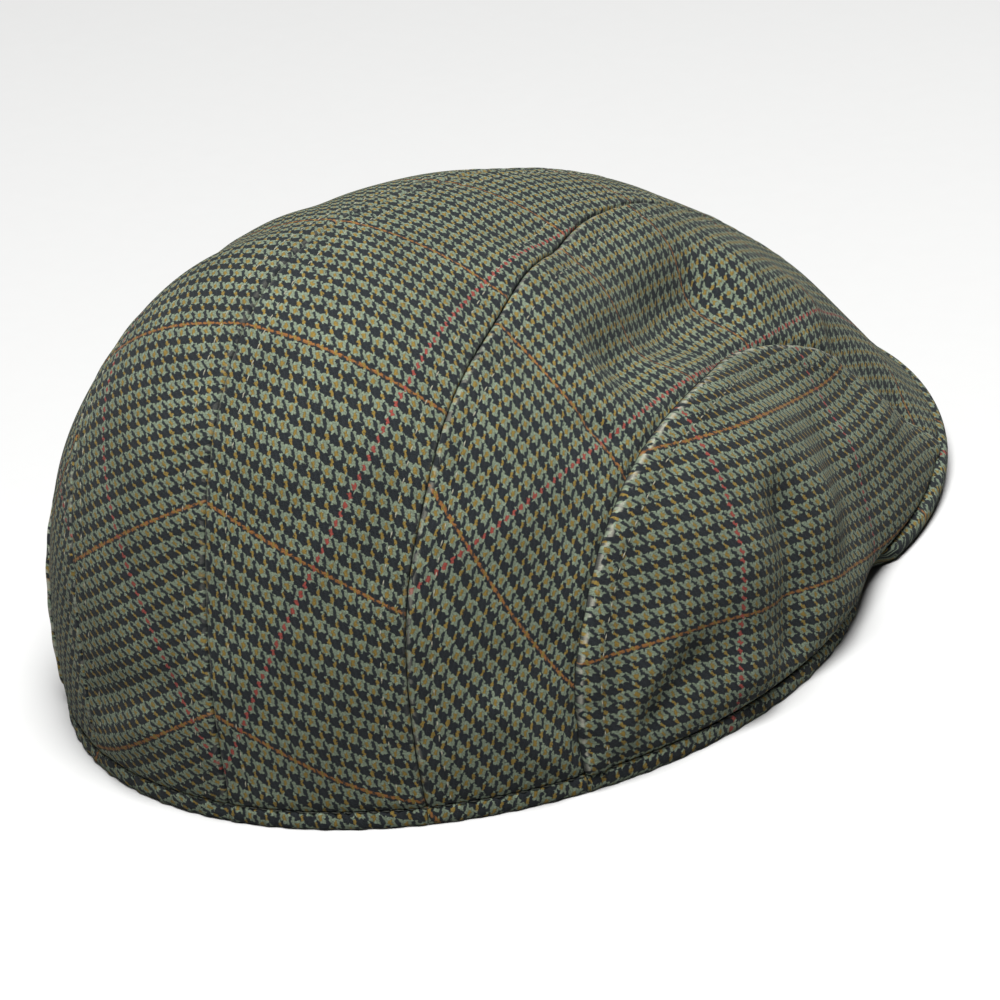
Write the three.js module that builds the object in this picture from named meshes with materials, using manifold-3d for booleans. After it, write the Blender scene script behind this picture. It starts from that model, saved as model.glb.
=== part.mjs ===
// A six-panel flat cap in wool cloth: a rounded crown whose front is sewn down onto a short curved peak,
// standing on the turned hem of its head opening.
// Millimetres, +Z up, the peak towards -Y. The origin lies on the ground under the middle of the cap.
import * as THREE from "three";
import { mergeVertices } from "three/addons/utils/BufferGeometryUtils.js";
import Module from "manifold-3d";

const wasm = await Module();
wasm.setup();

// Driving dimensions. Every y below is counted from the middle of the head opening.
const OPENING_Y = 28.42; // where the middle of the head opening stands in the cap's own frame
const GAP = 0.3; // between two pieces that are sewn together
const SEAT = 0.5; // how far the crown stands off the hem and the peak, which curve away between its straight steps
const HEM = { halfWidth: 83, halfLength: 98.6, height: 4, thickness: 2.6 };
const CROWN = { wall: 2, topY: 34, topZ: 108.6, tilt: 0.09 };
const PEAK = { centreY: -60, halfWidth: 73.7, reach: 96.3, thickness: 3, sideHeight: 3.4, arch: 18, droop: 9 };
const PEAK_SWEEP = { root: 57, edge: 88 }; // degrees to each side of the front that its inner and outer edges cover
const SEWN = { halfWidth: 71.8, reach: 94.6 }; // the line on the peak where the crown's front is sewn down
const LIFT = { startY: -53, endY: -80 }; // between these the hem leaves the ground and climbs to the peak
const TEMPLE_SHARPNESS = 24; // how tightly the crown's edge turns from the hem to the peak

// How far the cuts along the seams reach: up and down, outward from the middle on each side, and along the cap.
const CUT = { bottom: -5, top: 135, inmost: 34, outermost: 154, length: 300 };
const SIDE_PANEL_BELOW = 80; // no side panel reaches this height, and every top panel does

// The crown's upright sections, at equal angles from the centre back (0) to the centre front (180).
// lean and rise: how far the cloth leans out and climbs as it leaves its lower edge.
// reach: the share of the section's radius over which it runs flat from the crown's top.
const SECTIONS = [
  { angle: 0, lean: 7, rise: 86, reach: 0.61 },
  { angle: 30, lean: 8, rise: 84, reach: 0.61 },
  { angle: 60, lean: 7, rise: 67, reach: 0.58 },
  { angle: 90, lean: 12, rise: 41, reach: 0.53 },
  { angle: 120, lean: 18, rise: 20, reach: 0.61 },
  { angle: 150, lean: 2, rise: 5.6, reach: 0.66 },
  { angle: 180, lean: -17, rise: 5, reach: 0.72 },
];

// The main dents (negative) and swells (positive) of the cloth, each along a line between two places on the crown.
// across: how wide the fold spreads to each side. height: how far it moves the cloth at its middle.
const FOLDS = [
  { name: "brow hollow", from: [-56, 16, 79], to: [-45, -48, 70], across: 13, height: -3 },
  { name: "brow swell", from: [-43, -62, 65], to: [-47, -76, 54], across: 11, height: 2 },
  { name: "temple valley", from: [-54, -80, 41], to: [-57, -100, 19], across: 7, height: -2.5 },
  { name: "temple ridge", from: [-66, -78, 28], to: [-69, -53, 30], across: 8, height: 1.8 },
  { name: "side dip", from: [-81, 3, 40], to: [-85, 9, 10], across: 8, height: -2 },
  { name: "side ridge", from: [-80, -14, 38], to: [-82, -10, 12], across: 8, height: 1.5 },
  { name: "nape pucker", from: [-74, 48, 14], to: [-79, 38, 20], across: 6, height: -2 },
  { name: "left brow hollow", from: [55, 14, 79], to: [45, -46, 70], across: 14, height: -2.5 },
  { name: "left temple valley", from: [54, -80, 41], to: [57, -99, 20], across: 8, height: -2 },
  { name: "left side ridge", from: [80, -14, 38], to: [82, -10, 12], across: 8, height: 1.5 },
  { name: "left side dip", from: [81, 3, 40], to: [85, 9, 10], across: 8, height: -2 },
];

// The seam between the back and top panels, seen from above, and the one round the side panel, seen from the side.
const BACK_SEAM = [
  { y: 112, x: 33 },
  { y: 88, x: 40 },
  { y: 74, x: 42.5 },
  { y: 50, x: 40.5 },
  { y: 15, x: 34.5 },
  { y: -30, x: 25.5 },
  { y: -80, x: 22 },
  { y: -160, x: 21 },
];
const SIDE_SEAM = [
  { y: 60, z: -8 },
  { y: 63, z: 14 },
  { y: 61, z: 32 },
  { y: 50, z: 51 },
  { y: 30, z: 63.5 },
  { y: 2, z: 67 },
  { y: -30, z: 61 },
  { y: -58, z: 51 },
  { y: -76, z: 39 },
  { y: -93, z: 25 },
  { y: -108, z: 9 },
  { y: -116, z: -6 },
];

const MESH_STEPS = { around: 70, up: 16, seam: 26, along: 44 };

const CLOTH = { color: 0x55564a, roughness: 0.95, metalness: 0 };
const cloth = (shade) => {
  const material = new THREE.MeshStandardMaterial(CLOTH);
  material.color.multiplyScalar(shade);
  return material;
};

// A value of the section table at any angle: the cosine series that passes through every row, so that both
// halves of the crown are alike and the cloth has no kink at a row.
function sectionValue(column, angle) {
  const last = SECTIONS.length - 1;
  const halved = (index) => (index === 0 || index === last ? 0.5 : 1);
  let value = 0;
  for (let wave = 0; wave <= last; wave += 1) {
    let weight = 0;
    SECTIONS.forEach((row, index) => {
      weight += (halved(index) * row[column] * Math.cos((wave * Math.PI * index) / last) * 2) / last;
    });
    value += halved(wave) * weight * Math.cos(wave * angle);
  }
  return value;
}

// How far it is from a point on the y axis to an ellipse about (0, centreY), in a direction seen from above.
function reachToEllipse(direction, startY, centreY, halfWidth, halfLength) {
  const offset = startY - centreY;
  const a = (direction.x / halfWidth) ** 2 + (direction.y / halfLength) ** 2;
  const b = (offset * direction.y) / halfLength ** 2;
  const c = (offset / halfLength) ** 2 - 1;
  return (-b + Math.sqrt(Math.max(b * b - a * c, 0))) / a;
}

const smooth = (start, end, value) => {
  const share = THREE.MathUtils.clamp((value - start) / (end - start), 0, 1);
  return share * share * (3 - 2 * share);
};

// The top of the hem and of the peak: level at the back and sides, arched over the forehead.
function ledgeTop(x, y) {
  const forward = THREE.MathUtils.clamp((PEAK.centreY - y) / PEAK.reach, 0, 1);
  const arched = PEAK.sideHeight + PEAK.arch * (1 - (x / PEAK.halfWidth) ** 2) - PEAK.droop * forward ** 2;
  return THREE.MathUtils.lerp(HEM.height, arched, smooth(LIFT.startY, LIFT.endY, y));
}

// Lifts a point of the crown that would sink into the peak.
function clearOfLedge(point) {
  if (point.y < LIFT.startY) point.z = Math.max(point.z, ledgeTop(point.x, point.y) + SEAT);
  return point;
}

// The lower edge of the crown, at an angle about the crown's top: on the hem, and in front on the peak.
function crownEdge(angle) {
  const direction = new THREE.Vector2(Math.sin(angle), Math.cos(angle));
  const hem = reachToEllipse(direction, CROWN.topY, 0, HEM.halfWidth, HEM.halfLength);
  const peak = reachToEllipse(direction, CROWN.topY, PEAK.centreY, SEWN.halfWidth, SEWN.reach);
  const sharp = TEMPLE_SHARPNESS;
  const radius = (hem ** sharp + Math.max(peak, 1) ** sharp) ** (1 / sharp);
  const x = radius * direction.x;
  const y = CROWN.topY + radius * direction.y;
  return { radius, point: new THREE.Vector3(x, y, ledgeTop(x, y) + SEAT), direction };
}

// One section of the crown: a cubic curve from its lower edge to the crown's top.
function crownSection(angle) {
  const { radius, point, direction } = crownEdge(angle);
  const outward = new THREE.Vector3(direction.x, direction.y, 0);
  const top = new THREE.Vector3(0, CROWN.topY, CROWN.topZ);
  const leaving = point.clone().addScaledVector(outward, sectionValue("lean", Math.abs(angle)));
  leaving.z += sectionValue("rise", Math.abs(angle));
  const run = radius * sectionValue("reach", Math.abs(angle));
  const arriving = top.clone().addScaledVector(outward, run);
  arriving.z += CROWN.tilt * run * direction.y;
  return new THREE.CubicBezierCurve3(point, leaving, arriving, top);
}

// The height that all the folds together add at a place on the crown.
function foldHeight(place) {
  const nearest = new THREE.Vector3();
  return FOLDS.reduce((sum, fold) => {
    const line = new THREE.Line3(new THREE.Vector3(...fold.from), new THREE.Vector3(...fold.to));
    const away = line.closestPointToPoint(place, true, nearest).distanceTo(place);
    return sum + fold.height * Math.exp(-((away / fold.across) ** 2));
  }, 0);
}

const angleAt = (column) => (column / MESH_STEPS.around) * 2 * Math.PI;

// The crown's outer skin as rings from its lower edge up, with the outward direction of the cloth at each point.
// The last ring stops just short of the top point, which closes the skin.
function crownSkin() {
  const signed = (angle) => (angle > Math.PI ? angle - 2 * Math.PI : angle);
  const sections = Array.from({ length: MESH_STEPS.around }, (_, column) => crownSection(signed(angleAt(column))));
  const rings = [];
  for (let row = 0; row < MESH_STEPS.up; row += 1) {
    rings.push(sections.map((section) => section.getPoint(row / MESH_STEPS.up)));
  }
  const top = new THREE.Vector3(0, CROWN.topY, CROWN.topZ);
  const outwards = rings.map((ring, row) =>
    ring.map((point, column) => {
      const before = ring.at(column - 1);
      const after = ring[(column + 1) % ring.length];
      const above = row + 1 < rings.length ? rings[row + 1][column] : top;
      const below = row > 0 ? rings[row - 1][column] : point;
      const around = before.clone().sub(after);
      return around.cross(above.clone().sub(below)).normalize();
    }),
  );
  rings.forEach((ring, row) =>
    ring.forEach((point, column) => {
      clearOfLedge(point.addScaledVector(outwards[row][column], foldHeight(point)));
    }),
  );
  return { rings, outwards, top };
}

// A closed body from its points and its triangles.
function solidFrom(points, triangles) {
  const geometry = new THREE.BufferGeometry().setFromPoints(points);
  geometry.setIndex(triangles.flat());
  return solidOf(geometry);
}

function solidOf(geometry) {
  const bare = geometry.clone();
  bare.deleteAttribute("normal");
  bare.deleteAttribute("uv");
  const merged = mergeVertices(bare, 1e-4);
  return new wasm.Manifold(
    new wasm.Mesh({
      numProp: 3,
      vertProperties: merged.attributes.position.array,
      triVerts: new Uint32Array(merged.index.array),
    }),
  );
}

// The whole crown: the outer skin, the same skin moved in by the wall, and the lower edge that joins them.
function crownShell() {
  const { rings, outwards, top } = crownSkin();
  const columns = MESH_STEPS.around;
  const inner = rings.map((ring, row) =>
    ring.map((point, column) => {
      const inwards = outwards[row][column].clone();
      if (row === 0) inwards.z = 0;
      return clearOfLedge(point.clone().addScaledVector(inwards.normalize(), -CROWN.wall));
    }),
  );
  const innerTop = top.clone().setZ(top.z - CROWN.wall);
  const points = [...rings.flat(), top, ...inner.flat(), innerTop];
  const skinSize = rings.length * columns + 1;
  const at = (skin, row, column) => skin * skinSize + row * columns + (column % columns);
  const triangles = [];
  for (let column = 0; column < columns; column += 1) {
    for (let row = 0; row + 1 < rings.length; row += 1) {
      const outer = [at(0, row, column), at(0, row, column + 1), at(0, row + 1, column + 1), at(0, row + 1, column)];
      const inside = outer.map((index) => index + skinSize);
      triangles.push([outer[0], outer[2], outer[1]], [outer[0], outer[3], outer[2]]);
      triangles.push([inside[0], inside[1], inside[2]], [inside[0], inside[2], inside[3]]);
    }
    const last = rings.length - 1;
    triangles.push([at(0, last, column + 1), at(0, last, column), skinSize - 1]);
    triangles.push([at(1, last, column), at(1, last, column + 1), 2 * skinSize - 1]);
    triangles.push([at(0, 0, column), at(0, 0, column + 1), at(1, 0, column + 1)]);
    triangles.push([at(0, 0, column), at(1, 0, column + 1), at(1, 0, column)]);
  }
  return solidFrom(points, triangles);
}

// A thin strip along a curve, as wide as the gap between two panels, for cutting the crown at a seam.
function seamStrip(points, depth) {
  const line = new THREE.SplineCurve(points).getSpacedPoints(MESH_STEPS.seam);
  const side = (sign) =>
    line.map((point, index) => {
      const before = line[Math.max(index - 1, 0)];
      const after = line[Math.min(index + 1, line.length - 1)];
      const along = after.clone().sub(before).normalize();
      return new THREE.Vector2(point.x - along.y * sign * (GAP / 2), point.y + along.x * sign * (GAP / 2));
    });
  const shape = new THREE.Shape([...side(1), ...side(-1).reverse()]);
  return new THREE.ExtrudeGeometry(shape, { depth, bevelEnabled: false });
}

// side is 1 on the wearer's left and -1 on the right.
function backSeamCut(side) {
  const strip = seamStrip(BACK_SEAM.map((row) => new THREE.Vector2(side * row.x, row.y)), CUT.top - CUT.bottom);
  return solidOf(strip.translate(0, 0, CUT.bottom));
}

function sideSeamCut(side) {
  const strip = seamStrip(SIDE_SEAM.map((row) => new THREE.Vector2(row.y, row.z)), CUT.outermost - CUT.inmost);
  // The strip is drawn in (y, z) and stands along x.
  strip.applyMatrix4(new THREE.Matrix4().makeBasis(
    new THREE.Vector3(0, 1, 0),
    new THREE.Vector3(0, 0, 1),
    new THREE.Vector3(1, 0, 0),
  ));
  return solidOf(strip.translate(side > 0 ? CUT.inmost : -CUT.outermost, 0, 0));
}

function centreSeamCut() {
  return solidOf(new THREE.BoxGeometry(GAP, CUT.length, 2 * CUT.top).translate(0, PEAK.centreY / 2, 0));
}

// The six panels, told apart by whether they touch the centre seam and by how high they reach.
function crownPanels() {
  let crown = crownShell().subtract(centreSeamCut());
  for (const side of [1, -1]) {
    crown = crown.subtract(backSeamCut(side)).subtract(sideSeamCut(side));
  }
  return crown.decompose().map((solid) => {
    const { min, max } = solid.boundingBox();
    const middle = (min[0] + max[0]) / 2;
    const wearersSide = middle > 0 ? "left" : "right";
    let kind = "top_panel";
    if (Math.min(Math.abs(min[0]), Math.abs(max[0])) < 1) kind = "back_panel";
    else if (max[2] < SIDE_PANEL_BELOW) kind = "side_panel";
    return { name: kind + "_" + wearersSide, solid };
  });
}

// The points and triangles of a closed loop of like sections, each a ring of points.
function ringBody(sections) {
  const size = sections[0].length;
  const count = sections.length;
  const triangles = [];
  for (let section = 0; section < count; section += 1) {
    const next = (section + 1) % count;
    for (let corner = 0; corner < size; corner += 1) {
      const after = (corner + 1) % size;
      const quad = [section * size + corner, section * size + after, next * size + after, next * size + corner];
      triangles.push([quad[0], quad[1], quad[2]], [quad[0], quad[2], quad[3]]);
    }
  }
  return { points: sections.flat(), triangles };
}

// The hem: a band with eased corners round the whole head opening.
function hemBand() {
  const ease = 0.6;
  const { thickness, height } = HEM;
  const profile = [
    [0, ease],
    [0, height - ease],
    [-ease, height],
    [-thickness, height],
    [-thickness, 0],
    [-ease, 0],
  ];
  const sections = Array.from({ length: MESH_STEPS.around }, (_, column) => {
    const angle = angleAt(column);
    const x = HEM.halfWidth * Math.sin(angle);
    const y = HEM.halfLength * Math.cos(angle);
    const outward = new THREE.Vector2(x / HEM.halfWidth ** 2, y / HEM.halfLength ** 2).normalize();
    const base = ledgeTop(x, y) - HEM.height;
    return profile.map(
      ([out, up]) => new THREE.Vector3(x + outward.x * out, y + outward.y * out, base + up),
    );
  });
  const { points, triangles } = ringBody(sections);
  return solidFrom(points, triangles);
}

// The peak: a curved crescent between the front of the hem and its own rounded front edge.
function peakBody() {
  const { along } = MESH_STEPS;
  const across = 5;
  const hemClearance = 0.45; // the straight steps of two curves that face each other need a little more than the gap
  const loop = Array.from({ length: along + 1 }, (_, column) => {
    const share = (2 * column) / along - 1;
    const rootAngle = share * THREE.MathUtils.degToRad(PEAK_SWEEP.root);
    const edgeAngle = share * THREE.MathUtils.degToRad(PEAK_SWEEP.edge);
    const root = new THREE.Vector2(
      (HEM.halfWidth + hemClearance) * Math.sin(rootAngle),
      -(HEM.halfLength + hemClearance) * Math.cos(rootAngle),
    );
    const edge = new THREE.Vector2(
      PEAK.halfWidth * Math.sin(edgeAngle),
      PEAK.centreY - PEAK.reach * Math.cos(edgeAngle),
    );
    return Array.from({ length: across + 1 }, (_row, step) => {
      const place = root.clone().lerp(edge, step / across);
      return new THREE.Vector3(place.x, place.y, ledgeTop(place.x, place.y));
    });
  });
  const points = [...loop.flat(), ...loop.flat().map((p) => p.clone().setZ(p.z - PEAK.thickness))];
  const size = across + 1;
  const under = loop.length * size;
  const triangles = [];
  const quad = (a, b, c, d) => triangles.push([a, b, c], [a, c, d]);
  for (let column = 0; column < along; column += 1) {
    for (let step = 0; step < across; step += 1) {
      const a = column * size + step;
      const b = a + size;
      quad(a, a + 1, b + 1, b);
      quad(under + a, under + b, under + b + 1, under + a + 1);
    }
    const inner = column * size;
    const outer = inner + across;
    quad(inner, inner + size, under + inner + size, under + inner);
    quad(outer, under + outer, under + outer + size, outer + size);
  }
  for (let step = 0; step < across; step += 1) {
    const first = step;
    const last = along * size + step;
    quad(first, under + first, under + first + 1, first + 1);
    quad(last, last + 1, under + last + 1, under + last);
  }
  return solidFrom(points, triangles);
}

// A named mesh of a finished body.
function meshOf(name, solid, shade) {
  const { vertProperties, triVerts, numProp } = solid.getMesh();
  const geometry = new THREE.BufferGeometry();
  const positions = new THREE.InterleavedBuffer(vertProperties, numProp);
  geometry.setAttribute("position", new THREE.InterleavedBufferAttribute(positions, 3, 0));
  geometry.setIndex(new THREE.BufferAttribute(triVerts, 1));
  const mesh = new THREE.Mesh(geometry.toNonIndexed(), cloth(shade));
  mesh.geometry.computeVertexNormals();
  mesh.name = name;
  return mesh;
}

const cap = new THREE.Group();
cap.position.y = OPENING_Y;
for (const { name, solid } of crownPanels()) {
  cap.add(meshOf(name, solid, 1));
}
cap.add(meshOf("hem_band", hemBand(), 0.9));
cap.add(meshOf("peak", peakBody(), 0.95));

export default cap;
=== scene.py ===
"""A six-panel flat cap in small-check wool cloth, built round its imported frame.

The crown is one smooth surface, cut into panels along its seams. Each panel is flattened to find how its
cloth was cut. The folds, seams, hem, peak and stitches are then modelled on it.
Shape tables are in millimetres, with +Z up and the peak towards -Y. Their y is counted from the middle of the
head opening.
"""

import math
from collections import namedtuple

import bmesh
import bpy
import numpy as np
from bpy.props import FloatProperty, FloatVectorProperty, PointerProperty
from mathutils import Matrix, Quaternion, Vector
from mathutils.kdtree import KDTree


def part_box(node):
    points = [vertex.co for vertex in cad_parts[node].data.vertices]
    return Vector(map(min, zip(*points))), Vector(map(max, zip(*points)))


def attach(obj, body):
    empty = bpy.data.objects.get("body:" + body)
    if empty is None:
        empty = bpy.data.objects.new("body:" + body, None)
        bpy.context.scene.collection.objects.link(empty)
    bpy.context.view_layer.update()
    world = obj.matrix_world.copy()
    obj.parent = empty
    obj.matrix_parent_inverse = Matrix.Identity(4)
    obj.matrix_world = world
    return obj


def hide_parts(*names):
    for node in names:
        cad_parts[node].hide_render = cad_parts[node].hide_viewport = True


bl_info = {
    "name": "Flat cap",
    "version": (1, 0, 0),
    "blender": (4, 5, 0),
    "location": "View3D > Sidebar > Flat cap",
    "description": "Builds a soft flat cap in checked wool round its frame",
    "category": "Object",
}

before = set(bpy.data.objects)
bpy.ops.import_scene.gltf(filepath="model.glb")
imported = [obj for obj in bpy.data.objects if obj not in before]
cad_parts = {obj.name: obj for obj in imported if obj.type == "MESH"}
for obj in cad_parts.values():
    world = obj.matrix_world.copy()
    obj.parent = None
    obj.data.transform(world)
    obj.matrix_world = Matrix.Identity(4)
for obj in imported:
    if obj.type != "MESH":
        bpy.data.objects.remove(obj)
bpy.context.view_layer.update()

MM = 0.001
HEM_BOX = [np.array(corner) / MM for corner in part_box("hem_band")]
OPENING_Y = (HEM_BOX[0][1] + HEM_BOX[1][1]) / 2

# The driving sizes of the crown, hem and peak.
HEM = {"half_width": HEM_BOX[1][0], "half_length": HEM_BOX[1][1] - OPENING_Y, "height": 4.0}
HEM_STITCHES = {"pitch": 2.6, "above": 0.1, "inside": 0.15}
CROWN = {"wall": 1.6, "top_y": 34.0, "top_z": 108.6, "tilt": 0.09, "seat": 0.25, "seam_gap": 0.1}
PEAK = {
    "centre_y": -60.0,
    "half_width": 73.7,
    "reach": 96.3,
    "thickness": 3.0,
    "side_height": 3.4,
    "arch": 18.0,
    "droop": 9.0,
    "clear": 0.45,
}
# How far round the hem and the peak's edge the peak reaches each way from the centre front, in degrees.
PEAK_SWEEP = {"root": 57.0, "edge": 88.0}
# The hem's cross-section from its outer top round under it. Each row is the distance inward and the height.
HEM_PROFILE = [
    (0.9, 4.05), (0.45, 3.95), (0.15, 3.6), (0.05, 2.9), (0.0, 1.9), (0.08, 1.0), (0.35, 0.35), (1.0, 0.03),
    (1.8, 0.05), (2.4, 0.5), (2.6, 1.6), (2.55, 3.2), (2.1, 3.95),
]
# Past this angle from the centre back the hem passes under the crown and the peak.
HEM_TURNS_UNDER = math.radians(141)
# The hem's small unevenness, round the opening.
HEM_WAVES = [
    {"height": 0.12, "waves": 61, "shift": 0},
    {"height": 0.08, "waves": 103, "shift": 1},
]
# The gap between the hem's lengths, in radians, and the cloth that a radian of it takes up under the peak.
HEM_GAP = 0.0012
HEM_UNDER_LENGTH = 60
# The share of the side panel's seam that is left off at each of its sharp ends.
SIDE_TIP = 0.0012
# Where the crown's front is sewn down on the peak, and the stretch over which the hem lifts to the peak.
SEWN = {"half_width": 71.8, "reach": 94.6}
LIFT = {"start_y": -53.0, "end_y": -80.0}
# How tightly the crown's edge turns from the hem to the peak.
TEMPLE_SHARPNESS = 24

# Upright sections of the crown, at equal angles from the centre back to the centre front. lean and rise say
# how far the cloth leans out and climbs as it leaves its edge, and reach is the share of the radius over
# which it runs flat from the top.
SECTIONS = [
    {"angle": 0, "lean": 7.0, "rise": 86.0, "reach": 0.61},
    {"angle": 30, "lean": 8.0, "rise": 84.0, "reach": 0.61},
    {"angle": 60, "lean": 7.0, "rise": 67.0, "reach": 0.58},
    {"angle": 90, "lean": 12.0, "rise": 41.0, "reach": 0.53},
    {"angle": 120, "lean": 18.0, "rise": 20.0, "reach": 0.61},
    {"angle": 150, "lean": 2.0, "rise": 5.6, "reach": 0.66},
    {"angle": 180, "lean": -17.0, "rise": 5.0, "reach": 0.72},
]

# The seam between the back and top panels seen from above, in rows of y and x. Then the seam round the side
# panel seen from the side, in rows of y and z.
BACK_SEAM = [(112, 33), (88, 40), (74, 42.5), (50, 40.5), (15, 34.5), (-30, 25.5), (-80, 22), (-160, 21)]
SIDE_SEAM = [
    (60, -8), (63, 14), (61, 32), (50, 51), (30, 63.5), (2, 67),
    (-30, 61), (-58, 51), (-76, 39), (-93, 25), (-108, 9), (-116, -6),
]
SIDE_SEAM_CENTRE = (-20.0, -6.0)
BACK_SEAM_CENTRE = (0.0, -10.0)

# Dents (negative) and swells (positive) of the cloth, each along a line between two places on the crown.
Fold = namedtuple("Fold", "name start end across height")
FOLDS = [
    Fold("brow hollow", (-56, 12, 79), (-46, -40, 71), 10.5, -7.0),
    Fold("brow swell", (-43, -62, 65), (-47, -76, 54), 11, 2.5),
    Fold("temple valley", (-54, -80, 41), (-57, -100, 19), 7, -2.8),
    Fold("temple ridge", (-66, -78, 28), (-69, -53, 30), 8, 2.0),
    Fold("side ridge", (-80, 17, 36), (-83, 20, 10), 7, 2.0),
    Fold("side dip", (-81, -1, 40), (-85, 4, 9), 6.5, -3.2),
    Fold("side fullness", (-74, -42, 50), (-74, 34, 51), 12, 2.2),
    Fold("side hollow", (-83, -34, 19), (-82, 32, 20), 9, -2.2),
    Fold("side swell", (-80, -19, 36), (-80, -17, 14), 8, 1.6),
    Fold("nape pucker", (-74, 48, 13), (-79, 38, 20), 4.5, -2.2),
    Fold("nape ridge", (-68, 55, 6), (-75, 49, 22), 4, 1.2),
    Fold("seam pucker", (-63, 66, 34), (-66, 63, 10), 3.5, -1.0),
    Fold("seam ripple", (-55, 76, 24), (-60, 69, 9), 3.5, 0.9),
    Fold("dart", (-59, 37, 72), (-62, 34, 68), 2.5, -1.2),
    Fold("back ripple", (34, 92, 8), (20, 98, 18), 4, 0.9),
    Fold("back furrow", (36, 93, 20), (12, 101, 30), 5, -0.9),
    Fold("left brow hollow", (55, 14, 79), (45, -46, 70), 14, -2.5),
    Fold("left temple valley", (54, -80, 41), (57, -99, 20), 8, -2.0),
    Fold("left side ridge", (80, -14, 38), (82, -10, 12), 8, 1.5),
    Fold("left side dip", (81, 3, 40), (85, 9, 10), 8, -2.0),
]

# How the cloth lies in each panel, on the wearer's right. turns has rows of a place along the panel and the
# degrees that the long yarns turn there, from the panel's length towards its outer side. stretch is the
# length of a repeat beside the usual one, across and along the yarns. lines says where a red and a rust
# line pass.
GRAIN = {
    "back_panel": {
        "turns": [(-160, 19), (-120, 17), (-95, 11), (-80, 5), (-60, 1), (0, 0)],
        "stretch": (1.0, 1.0),
        "lines": (12.0, -69.3),
    },
    "top_panel": {
        "turns": [
            (-130, 38), (-90, 34.5), (-70, 28.5), (-50, 20.5), (-30, 11),
            (0, 1.5), (30, -8), (50, -16), (70, -22),
        ],
        "stretch": (1.02, 1.0),
        "lines": (18.0, -47.0),
    },
    "side_panel": {
        "turns": [(-90, 70), (-50, 72), (-35, 75), (-20, 80), (0, 84), (28, 88), (45, 100), (60, 100)],
        "stretch": (1.2, 0.95),
        "lines": (46.5, -14.0),
    },
}
SIDES = {"right": -1, "left": 1}
CLOTH_MAP = "cloth"
# Each way, eight yarns make one repeat of the check: four dark and four pale.
REPEAT = 8
# The coloured yarns: which yarn the first of each is, and how many yarns lie from one to the next.
RED_END, RED_EVERY = 44, 160
RUST_PICK, RUST_EVERY = 41, 80
WORN = "worn"
SEED = 11

# The camera's aim, in the space of the shape tables. The lights' places and their aim are in metres.
CAMERA_AIM = (0, -21.2, 47.7)
LIGHTS = [{"name": "key", "place": (-0.3, 0.55, 1.95), "size": 1.2, "power": 156.0}]
LIGHTS_AIM = (0, 0, 0.05)

# What a seam does to the cloth beside it. A bump fades over its width, and worn is how pale its nap gets.
SEAMS = {
    "raised": {"height": 0.8, "width": 0.4, "worn": 0.8},
    "tucked": {"height": -0.75, "width": 1.5, "worn": 0.0},
    "centre": {"height": -0.9, "width": 0.4, "worn": 0.15},
    "back": {"height": -0.9, "width": 0.4, "worn": 0.35},
    "back outer": {"height": -0.9, "width": 0.4, "worn": 0.08},
}
SEAM_ALLOWANCE = {"height": 0.12, "before": 1.0, "after": 2.0}
STITCH_ROW = {"depth": 0.22, "width": 0.8}
WORN_BAND = {"from_seam": 0.6, "width": 0.4}
SEAM_RIPPLE = {"height": 0.1, "length": 8.5, "width": 6}
RIM_TUCK = {"depth": 0.45, "width": 0.8}
# Folds and waves fade out over this distance above the crown's edge.
CALM_ABOVE_RIM = 8
GENTLE_WAVES = {"height": 0.25, "count": 14, "shortest": 22, "longest": 55}
# Shapes of one sewn stitch, as shares of its pitch or of the thread's thickness.
STITCH = {"half_length": 0.36, "arch": 0.75, "sunk": 0.55, "rings": 7, "sides": 6}
STITCH_CHANCE = {"place": 0.05, "length": 0.02, "lean": 0.07}
STITCH_LEAN = 0.08


# ---------------------------------------------------------------- the crown's surface

def section_value(column, angle):
    """A value of the section table at any angle: the cosine series that passes through every row."""
    rows = [row[column] for row in SECTIONS]
    last = len(rows) - 1
    ends = [0.5 if index in (0, last) else 1.0 for index in range(last + 1)]
    value = np.zeros_like(angle)
    for wave in range(last + 1):
        weight = sum(
            ends[index] * row * math.cos(wave * math.pi * index / last) * 2 / last
            for index, row in enumerate(rows)
        )
        value = value + ends[wave] * weight * np.cos(wave * angle)
    return value


def reach_to_ellipse(across, along, start_y, centre_y, half_width, half_length):
    """How far it is from (0, start_y) to an ellipse about (0, centre_y), in the direction (across, along)."""
    offset = start_y - centre_y
    a = (across / half_width) ** 2 + (along / half_length) ** 2
    b = offset * along / half_length**2
    c = (offset / half_length) ** 2 - 1
    return (-b + np.sqrt(np.maximum(b * b - a * c, 0))) / a


def smooth(start, end, value):
    """0 up to start and 1 from end on, with a soft step between."""
    share = np.clip((value - start) / (end - start), 0, 1)
    return share * share * (3 - 2 * share)


def bell(away, width):
    """1 at no distance, fading to 0 over about twice the width."""
    return np.exp(-((away / width) ** 2))


def hem_edge(angles):
    """Places round the hem's outer edge seen from above, and the directions in which it faces."""
    across, along = np.sin(angles), np.cos(angles)
    reach = reach_to_ellipse(across, along, CROWN["top_y"], 0, HEM["half_width"], HEM["half_length"])
    outward = np.stack([across, along], -1)
    return outward * reach[:, None] + (0, CROWN["top_y"]), outward


def ledge_top(x, y):
    """The top of the hem and of the peak: level at the back and sides, arched over the forehead."""
    forward = np.clip((PEAK["centre_y"] - y) / PEAK["reach"], 0, 1)
    arch = PEAK["arch"] * (1 - (x / PEAK["half_width"]) ** 2)
    arched = PEAK["side_height"] + arch - PEAK["droop"] * forward**2
    return HEM["height"] + (arched - HEM["height"]) * smooth(LIFT["start_y"], LIFT["end_y"], y)


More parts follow.
